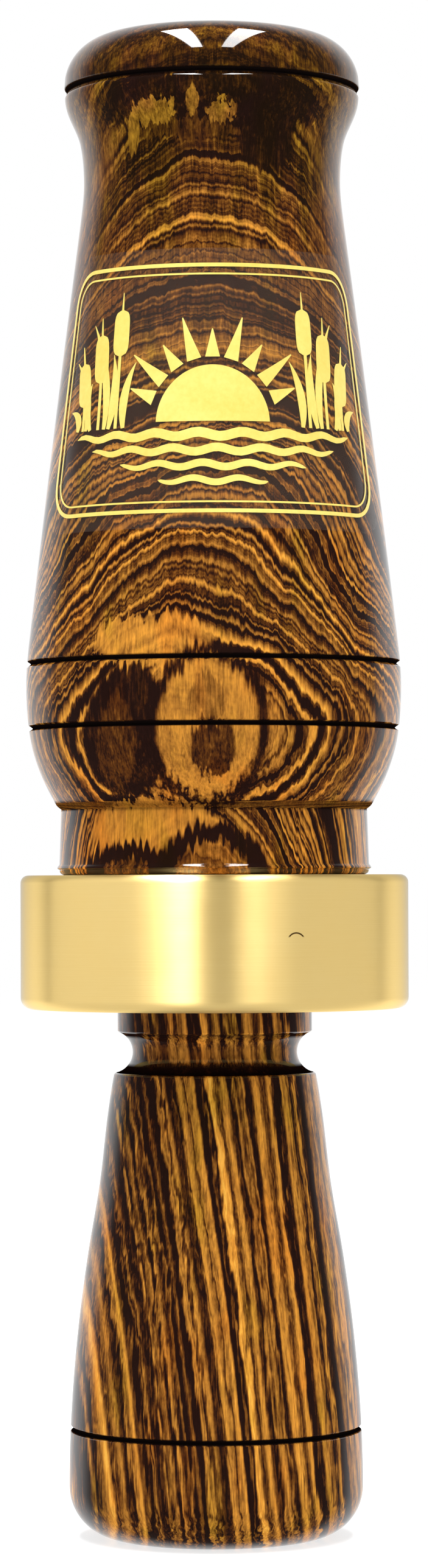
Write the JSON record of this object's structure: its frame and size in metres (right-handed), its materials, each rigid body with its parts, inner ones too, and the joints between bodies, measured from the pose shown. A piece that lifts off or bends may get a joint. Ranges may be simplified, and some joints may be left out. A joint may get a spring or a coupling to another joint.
{
  "type": "duck call",
  "caption": "Turned hardwood duck call: contoured barrel with brass band and emblem film, sliding on O-rings over a flared end piece with tone board, cork wedge and reeds.",
  "frame": {"origin": "centre of the flat bell end of the end piece, on which the call stands", "axes": "+Z along the bore towards the mouth; -Y is the side that carries the emblem and, inside, the reeds; +X to the right of it"},
  "size_m": [0.035, 0.035, 0.135],
  "materials": {
    "barrel_wood": "polished clear lacquer over bocote",
    "band_brass": "satin, turned",
    "emblem_film": "gold print on a clear film under the lacquer",
    "end_piece_wood": "polished clear lacquer over bocote",
    "tone_board_plastic": "satin black machined acetal",
    "wedge_cork": "sanded cork",
    "reed_film": "frosted polyester film",
    "o_ring_rubber": "matte black"
  },
  "bodies": {
    "insert": {"end_piece": "end_piece_wood", "tone_board": "tone_board_plastic", "wedge": "wedge_cork"},
    "o_rings": {"lower_o_ring": "o_ring_rubber", "upper_o_ring": "o_ring_rubber"},
    "barrel": {"barrel": "barrel_wood", "band": "band_brass", "emblem_film": "emblem_film"},
    "lower_reed": {"lower_reed": "reed_film"},
    "upper_reed": {"upper_reed": "reed_film"}
  },
  "joints": [
    {"name": "barrel_twist", "type": "hinge", "parent": "insert", "child": "o_rings", "pos_m": [0, 0, 0.0552], "axis": [0, 0, 1], "continuous": true},
    {"name": "barrel_pull", "type": "slide", "parent": "o_rings", "child": "barrel", "axis": [0, 0, 1], "range_m": [0, 0.068]},
    {"name": "lower_reed_flex", "type": "hinge", "parent": "insert", "child": "lower_reed", "pos_m": [0, -0.00101, 0.077], "axis": [-1, 0, 0], "range_deg": [-1, 2.6], "stiffness_Nm_per_rad": 0.0065, "deforming": ["lower_reed"]},
    {"name": "upper_reed_flex", "type": "hinge", "parent": "insert", "child": "upper_reed", "pos_m": [0, -0.00127, 0.077], "axis": [-1, 0, 0], "range_deg": [-1, 2.6], "stiffness_Nm_per_rad": 0.0065, "deforming": ["upper_reed"]}
  ],
  "couplings": [
    {"joint": "upper_reed_flex", "follows": "lower_reed_flex", "ratio": 1}
  ]
}
